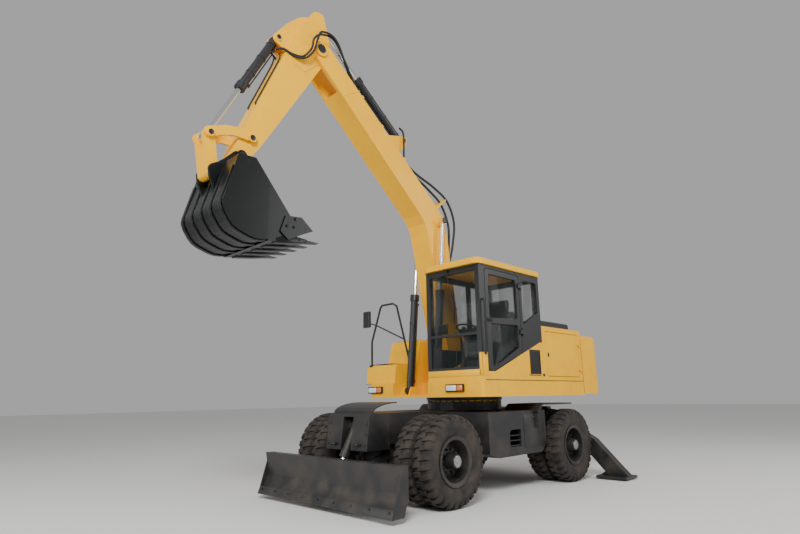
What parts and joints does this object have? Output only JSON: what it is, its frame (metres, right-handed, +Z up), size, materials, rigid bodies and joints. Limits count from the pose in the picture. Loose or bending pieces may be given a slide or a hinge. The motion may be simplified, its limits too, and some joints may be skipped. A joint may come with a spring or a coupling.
{
  "type": "wheeled excavator",
  "caption": "Wheeled excavator with twin tyres, front blade, rear outriggers, slewing cab and a one-piece boom with arm and toothed bucket.",
  "frame": {"origin": "on the ground under the middle of the machine's box", "axes": "+X towards the blade, +Y to the operator's left, +Z up"},
  "size_m": [6.6629, 3.5, 6.5004],
  "materials": {
    "yellow_paint": "satin",
    "black_steel": "satin",
    "bucket_steel": "worn satin",
    "chrome": "polished",
    "rubber": "dusty matt",
    "seat_cloth": "matt"
  },
  "bodies": {
    "chassis": {"chassis_frame": "black_steel", "front_box": "black_steel", "splash_plate": "black_steel", "step_box_left": "black_steel", "step_box_right": "black_steel", "front_axle": "black_steel", "rear_axle": "black_steel"},
    "blade": {"blade": "black_steel"},
    "blade_cylinder_barrel": {"blade_cylinder_barrel": "black_steel"},
    "blade_cylinder_rod": {"blade_cylinder_rod": "chrome"},
    "outrigger_left": {"outrigger_left": "black_steel"},
    "outrigger_cylinder_barrel_left": {"outrigger_cylinder_barrel_left": "black_steel"},
    "outrigger_cylinder_rod_left": {"outrigger_cylinder_rod_left": "chrome"},
    "knuckle_left": {"steering_knuckle_left": "black_steel"},
    "wheel_front_left": {"rim_front_left": "black_steel", "tyre_front_left_outer": "rubber", "tyre_front_left_inner": "rubber"},
    "wheel_rear_left": {"rim_rear_left": "black_steel", "tyre_rear_left_outer": "rubber", "tyre_rear_left_inner": "rubber"},
    "outrigger_right": {"outrigger_right": "black_steel"},
    "outrigger_cylinder_barrel_right": {"outrigger_cylinder_barrel_right": "black_steel"},
    "outrigger_cylinder_rod_right": {"outrigger_cylinder_rod_right": "chrome"},
    "knuckle_right": {"steering_knuckle_right": "black_steel"},
    "wheel_front_right": {"rim_front_right": "black_steel", "tyre_front_right_outer": "rubber", "tyre_front_right_inner": "rubber"},
    "wheel_rear_right": {"rim_rear_right": "black_steel", "tyre_rear_right_outer": "rubber", "tyre_rear_right_inner": "rubber"},
    "upper": {"slewing_deck": "yellow_paint", "counterweight": "yellow_paint", "engine_house": "yellow_paint", "engine_block": "black_steel", "tool_box": "yellow_paint", "fuel_tank": "yellow_paint", "mirror_frame": "black_steel", "cab_tub": "yellow_paint", "cab_frame": "black_steel", "cab_roof": "yellow_paint", "seat": "seat_cloth", "steering_column": "black_steel"},
    "engine_lid": {"engine_lid": "black_steel"},
    "service_door_left": {"service_door_left": "yellow_paint"},
    "service_door_right": {"service_door_right": "yellow_paint"},
    "cab_door": {"cab_door": "black_steel"},
    "boom": {"boom": "yellow_paint"},
    "arm": {"arm": "yellow_paint"},
    "arm_cylinder_barrel": {"arm_cylinder_barrel": "black_steel"},
    "arm_cylinder_rod": {"arm_cylinder_rod": "chrome"},
    "bucket_cylinder_barrel": {"bucket_cylinder_barrel": "black_steel"},
    "bucket_cylinder_rod": {"bucket_cylinder_rod": "chrome"},
    "tipping_link": {"tipping_link": "yellow_paint"},
    "bucket": {"bucket": "bucket_steel"},
    "boom_cylinder_barrels": {"boom_cylinder_barrel_left": "black_steel", "boom_cylinder_barrel_right": "black_steel"},
    "boom_cylinder_rods": {"boom_cylinder_rod_left": "chrome", "boom_cylinder_rod_right": "chrome"},
    "idler": {"idler_links": "yellow_paint"}
  },
  "joints": [
    {"name": "swing", "type": "hinge", "parent": "chassis", "child": "upper", "pos_m": [-1.0615, 0, 1.2], "axis": [0, 0, 1], "continuous": true},
    {"name": "blade_lift", "type": "hinge", "parent": "chassis", "child": "blade", "pos_m": [1.0385, 0, 0.45], "axis": [0, -1, 0], "range_deg": [-1.5, 25]},
    {"name": "blade_cylinder_swing", "type": "hinge", "parent": "chassis", "child": "blade_cylinder_barrel", "pos_m": [1.0985, 0, 0.93], "axis": [0, -1, 0], "range_deg": [-0.83, 9.16]},
    {"name": "blade_cylinder_stroke", "type": "slide", "parent": "blade_cylinder_barrel", "child": "blade_cylinder_rod", "axis": [0.4657, 0, -0.8849], "range_m": [-0.136, 0.01004]},
    {"name": "outrigger_lift_left", "type": "hinge", "parent": "chassis", "child": "outrigger_left", "pos_m": [-2.7615, 0.46, 0.74], "axis": [1, 0, 0], "range_deg": [-3, 45]},
    {"name": "outrigger_cylinder_swing_left", "type": "hinge", "parent": "chassis", "child": "outrigger_cylinder_barrel_left", "pos_m": [-2.7615, 0.16, 0.99], "axis": [1, 0, 0], "range_deg": [-1.94, 24.83]},
    {"name": "outrigger_cylinder_stroke_left", "type": "slide", "parent": "outrigger_cylinder_barrel_left", "child": "outrigger_cylinder_rod_left", "axis": [0, 0.9603, -0.279], "range_m": [-0.17997, 0.01386]},
    {"name": "outrigger_lift_right", "type": "hinge", "parent": "chassis", "child": "outrigger_right", "pos_m": [-2.7615, -0.46, 0.74], "axis": [-1, 0, 0], "range_deg": [-3, 45]},
    {"name": "outrigger_cylinder_swing_right", "type": "hinge", "parent": "chassis", "child": "outrigger_cylinder_barrel_right", "pos_m": [-2.7615, -0.16, 0.99], "axis": [-1, 0, 0], "range_deg": [-1.94, 24.83]},
    {"name": "outrigger_cylinder_stroke_right", "type": "slide", "parent": "outrigger_cylinder_barrel_right", "child": "outrigger_cylinder_rod_right", "axis": [0, -0.9603, -0.279], "range_m": [-0.17997, 0.01386]},
    {"name": "steer_left", "type": "hinge", "parent": "chassis", "child": "knuckle_left", "pos_m": [0.6185, 0.5, 0.52], "axis": [0, 0, 1], "range_deg": [-25, 25]},
    {"name": "steer_right", "type": "hinge", "parent": "chassis", "child": "knuckle_right", "pos_m": [0.6185, -0.5, 0.52], "axis": [0, 0, 1], "range_deg": [-25, 25]},
    {"name": "wheel_spin_front_left", "type": "hinge", "parent": "knuckle_left", "child": "wheel_front_left", "pos_m": [0.6185, 0, 0.52], "axis": [0, 1, 0], "continuous": true},
    {"name": "wheel_spin_front_right", "type": "hinge", "parent": "knuckle_right", "child": "wheel_front_right", "pos_m": [0.6185, 0, 0.52], "axis": [0, 1, 0], "continuous": true},
    {"name": "wheel_spin_rear_left", "type": "hinge", "parent": "chassis", "child": "wheel_rear_left", "pos_m": [-2.1315, 0, 0.52], "axis": [0, 1, 0], "continuous": true},
    {"name": "wheel_spin_rear_right", "type": "hinge", "parent": "chassis", "child": "wheel_rear_right", "pos_m": [-2.1315, 0, 0.52], "axis": [0, 1, 0], "continuous": true},
    {"name": "cab_door_swing", "type": "hinge", "parent": "upper", "child": "cab_door", "pos_m": [-0.9835, 1.174, 2.2], "axis": [0, 0, 1], "range_deg": [0, 110]},
    {"name": "service_door_swing_left", "type": "hinge", "parent": "upper", "child": "service_door_left", "pos_m": [-2.5835, 1.174, 1.45], "axis": [0, 0, 1], "range_deg": [0, 100]},
    {"name": "service_door_swing_right", "type": "hinge", "parent": "upper", "child": "service_door_right", "pos_m": [-2.5835, -1.174, 1.45], "axis": [0, 0, -1], "range_deg": [0, 100]},
    {"name": "engine_lid_lift", "type": "hinge", "parent": "upper", "child": "engine_lid", "pos_m": [-2.5615, 0, 2.28], "axis": [0, -1, 0], "range_deg": [0, 70]},
    {"name": "boom_lift", "type": "hinge", "parent": "upper", "child": "boom", "pos_m": [-0.8515, -0.13, 1.8], "axis": [0, -1, 0], "range_deg": [-84, 3]},
    {"name": "boom_cylinder_swing", "type": "hinge", "parent": "upper", "child": "boom_cylinder_barrels", "pos_m": [-0.2815, -0.13, 1.34], "axis": [0, -1, 0], "range_deg": [-82.71, 3.24]},
    {"name": "boom_cylinder_stroke", "type": "slide", "parent": "boom_cylinder_barrels", "child": "boom_cylinder_rods", "axis": [-0.0995, 0, 0.995], "range_m": [-0.98059, 0.03695]},
    {"name": "arm_crowd", "type": "hinge", "parent": "boom", "child": "arm", "pos_m": [1.79376, -0.13, 5.88895], "axis": [0, 1, 0], "range_deg": [-75, 25]},
    {"name": "arm_cylinder_swing", "type": "hinge", "parent": "boom", "child": "arm_cylinder_barrel", "pos_m": [0.12901, -0.13, 5.11985], "axis": [0, 1, 0], "range_deg": [-3.75, 1.45]},
    {"name": "arm_cylinder_stroke", "type": "slide", "parent": "arm_cylinder_barrel", "child": "arm_cylinder_rod", "axis": [0.7768, 0, 0.6298], "range_m": [-0.63032, 0.21144]},
    {"name": "bucket_curl", "type": "hinge", "parent": "arm", "child": "bucket", "pos_m": [2.87386, -0.13, 3.99533], "axis": [0, 1, 0], "range_deg": [-110, 10]},
    {"name": "idler_swing", "type": "hinge", "parent": "arm", "child": "idler", "pos_m": [2.74259, -0.13, 4.26583], "axis": [0, 1, 0], "range_deg": [-91.42, 8.58]},
    {"name": "tipping_link_swing", "type": "hinge", "parent": "idler", "child": "tipping_link", "pos_m": [3.2585, -0.13, 4.16868], "axis": [0, 1, 0], "range_deg": [-5.51, 57.65]},
    {"name": "bucket_cylinder_swing", "type": "hinge", "parent": "arm", "child": "bucket_cylinder_barrel", "pos_m": [2.40644, -0.13, 5.82397], "axis": [0, 1, 0], "range_deg": [-0.76, 5.4]},
    {"name": "bucket_cylinder_stroke", "type": "slide", "parent": "bucket_cylinder_barrel", "child": "bucket_cylinder_rod", "axis": [0.4577, 0, -0.8891], "range_m": [-0.74053, 0.06914]}
  ],
  "couplings": [
    {"joint": "blade_cylinder_swing", "follows": "blade_lift", "ratio": 0.35453},
    {"joint": "blade_cylinder_stroke", "follows": "blade_lift", "m_per_rad": -0.3071},
    {"joint": "outrigger_cylinder_swing_left", "follows": "outrigger_lift_left", "ratio": 0.54517},
    {"joint": "outrigger_cylinder_stroke_left", "follows": "outrigger_lift_left", "m_per_rad": -0.22659},
    {"joint": "outrigger_cylinder_swing_right", "follows": "outrigger_lift_right", "ratio": 0.54517},
    {"joint": "outrigger_cylinder_stroke_right", "follows": "outrigger_lift_right", "m_per_rad": -0.22659},
    {"joint": "steer_right", "follows": "steer_left", "ratio": 1},
    {"joint": "boom_cylinder_swing", "follows": "boom_lift", "ratio": 0.98111},
    {"joint": "boom_cylinder_stroke", "follows": "boom_lift", "m_per_rad": 0.66749},
    {"joint": "arm_cylinder_swing", "follows": "arm_crowd", "ratio": 0.046},
    {"joint": "arm_cylinder_stroke", "follows": "arm_crowd", "m_per_rad": 0.48},
    {"joint": "idler_swing", "follows": "bucket_curl", "ratio": 0.82839},
    {"joint": "tipping_link_swing", "follows": "bucket_curl", "ratio": -0.52137},
    {"joint": "bucket_cylinder_swing", "follows": "bucket_curl", "ratio": -0.0464},
    {"joint": "bucket_cylinder_stroke", "follows": "bucket_curl", "m_per_rad": 0.38468}
  ]
}
